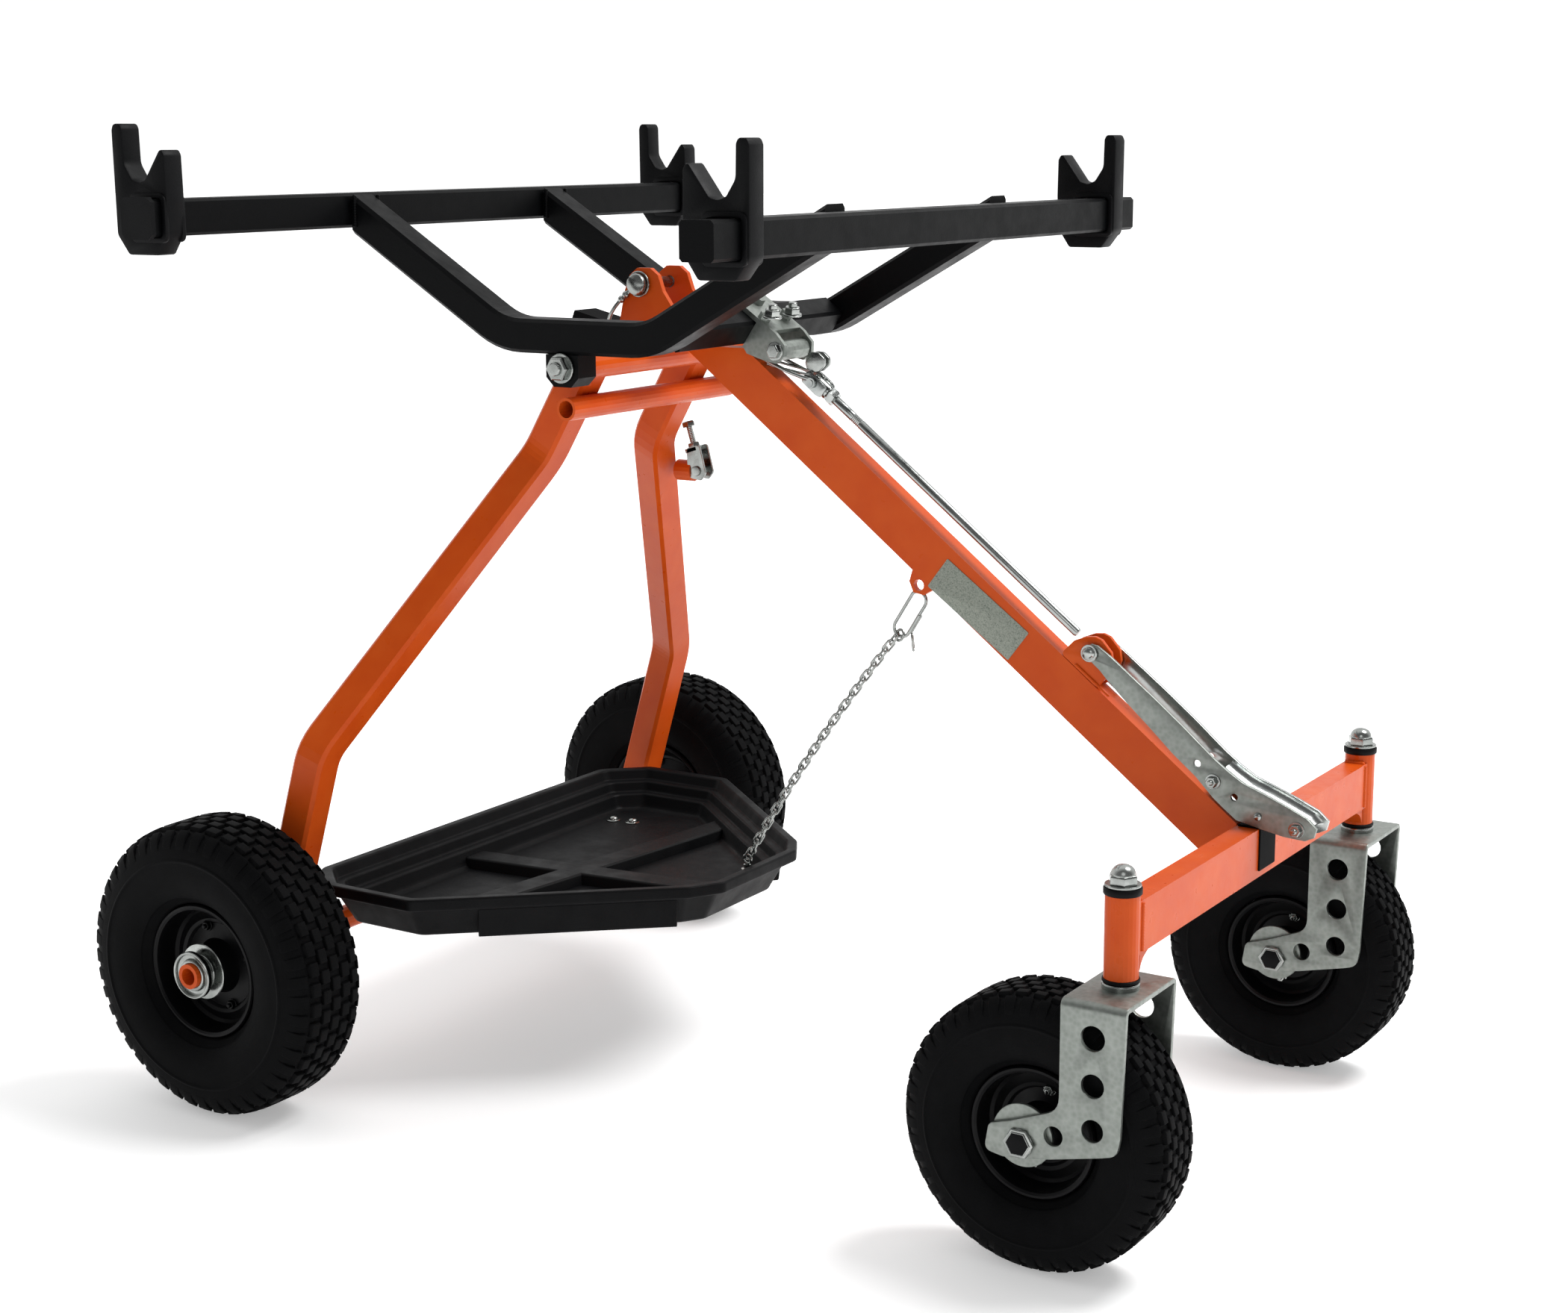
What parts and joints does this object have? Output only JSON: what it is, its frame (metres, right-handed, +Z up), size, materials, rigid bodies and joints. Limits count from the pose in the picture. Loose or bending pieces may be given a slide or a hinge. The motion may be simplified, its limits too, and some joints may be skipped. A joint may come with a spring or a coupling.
{
  "type": "tilting kart trolley stand",
  "caption": "Wheeled kart stand: orange A-frame with tipping black cradle and V hooks, latch lever and pull rod, swivel castors, pneumatic wheels and a chain-hung tool tray.",
  "frame": {"origin": "centre of the bounding box at floor level", "axes": "+X towards the castors, +Y to the far side, +Z up; near means -Y"},
  "size_m": [1.002, 0.782, 0.846],
  "materials": {
    "orange_paint": "glossy, slightly mottled",
    "black_powder_coat": "satin",
    "black_plastic": "satin, fine grain",
    "zinc_plate": "zinc plated",
    "galvanised_steel": "galvanised, bright cut edges",
    "black_rubber": "matte",
    "tyre_rubber": "matte, moulded tread",
    "black_rim": "satin"
  },
  "bodies": {
    "frame": {"frame_beam": "orange_paint", "front_crossbar": "orange_paint", "steering_tube_near": "orange_paint", "steering_tube_far": "orange_paint", "leg_near": "orange_paint", "leg_far": "orange_paint", "pivot_tube": "orange_paint", "lower_cross_tube": "orange_paint", "rear_axle": "orange_paint", "head_bracket": "orange_paint", "stop_tab": "orange_paint", "stop_pad": "black_rubber", "lever_ear_near": "orange_paint", "lever_ear_far": "orange_paint", "chain_tab": "orange_paint", "lever_rest": "black_rubber", "leg_stub": "orange_paint", "stub_clevis": "zinc_plate", "upper_bush_near": "black_plastic", "upper_bush_far": "black_plastic", "lever_pin": "zinc_plate", "tray": "black_plastic", "tray_chain": "zinc_plate", "snap_hook": "zinc_plate"},
    "cradle": {"rear_bar": "black_powder_coat", "front_bar": "black_powder_coat", "rear_bar_cap_near": "black_plastic", "rear_bar_cap_far": "black_plastic", "rear_hook_near": "black_plastic", "rear_hook_far": "black_plastic", "front_hook_near": "black_plastic", "front_hook_far": "black_plastic", "cradle_rail_near": "black_powder_coat", "cradle_rail_far": "black_powder_coat", "cradle_stay": "black_powder_coat", "pivot_lug_near": "black_powder_coat", "pivot_lug_far": "black_powder_coat", "pivot_bolt_near": "zinc_plate", "pivot_bolt_far": "zinc_plate", "latch_bracket": "zinc_plate"},
    "release_lever": {"release_lever": "zinc_plate"},
    "release_rod": {"release_rod": "zinc_plate", "latch_bail": "zinc_plate"},
    "lock_pin": {"lock_pin": "zinc_plate", "pin_tether": "zinc_plate"},
    "castor_near": {"castor_fork_near": "galvanised_steel", "castor_bolt_near": "zinc_plate"},
    "castor_wheel_near": {"castor_tyre_near": "tyre_rubber", "castor_rim_near": "black_rim"},
    "rear_wheel_near": {"rear_tyre_near": "tyre_rubber", "rear_rim_near": "black_rim", "hub_collar_near": "zinc_plate"},
    "castor_far": {"castor_fork_far": "galvanised_steel", "castor_bolt_far": "zinc_plate"},
    "castor_wheel_far": {"castor_tyre_far": "tyre_rubber", "castor_rim_far": "black_rim"},
    "rear_wheel_far": {"rear_tyre_far": "tyre_rubber", "rear_rim_far": "black_rim", "hub_collar_far": "zinc_plate"}
  },
  "joints": [
    {"name": "cradle_tilt", "type": "hinge", "parent": "frame", "child": "cradle", "pos_m": [-0.134, 0, 0.642], "axis": [0, -1, 0], "range_deg": [0, 60]},
    {"name": "lever_lift", "type": "hinge", "parent": "frame", "child": "release_lever", "pos_m": [0.296, 0, 0.418], "axis": [0, -1, 0], "range_deg": [0, 35]},
    {"name": "rod_slide", "type": "slide", "parent": "frame", "child": "release_rod", "axis": [-0.7907, 0, 0.6122], "range_m": [0, 0.012]},
    {"name": "lock_pin_slide", "type": "slide", "parent": "frame", "child": "lock_pin", "axis": [0, -1, 0], "range_m": [0, 0.065]},
    {"name": "castor_swivel_near", "type": "hinge", "parent": "frame", "child": "castor_near", "pos_m": [0.436, -0.247, 0.26], "axis": [0, 0, 1], "continuous": true},
    {"name": "castor_roll_near", "type": "hinge", "parent": "castor_near", "child": "castor_wheel_near", "pos_m": [0.378, -0.247, 0.109], "axis": [0, 1, 0], "continuous": true},
    {"name": "rear_roll_near", "type": "hinge", "parent": "frame", "child": "rear_wheel_near", "pos_m": [-0.371, -0.341, 0.13], "axis": [0, 1, 0], "continuous": true},
    {"name": "castor_swivel_far", "type": "hinge", "parent": "frame", "child": "castor_far", "pos_m": [0.436, 0.247, 0.26], "axis": [0, 0, 1], "continuous": true},
    {"name": "castor_roll_far", "type": "hinge", "parent": "castor_far", "child": "castor_wheel_far", "pos_m": [0.378, 0.247, 0.109], "axis": [0, 1, 0], "continuous": true},
    {"name": "rear_roll_far", "type": "hinge", "parent": "frame", "child": "rear_wheel_far", "pos_m": [-0.371, 0.341, 0.13], "axis": [0, 1, 0], "continuous": true}
  ],
  "couplings": [
    {"joint": "rod_slide", "follows": "lever_lift", "m_per_rad": 0.0195}
  ]
}
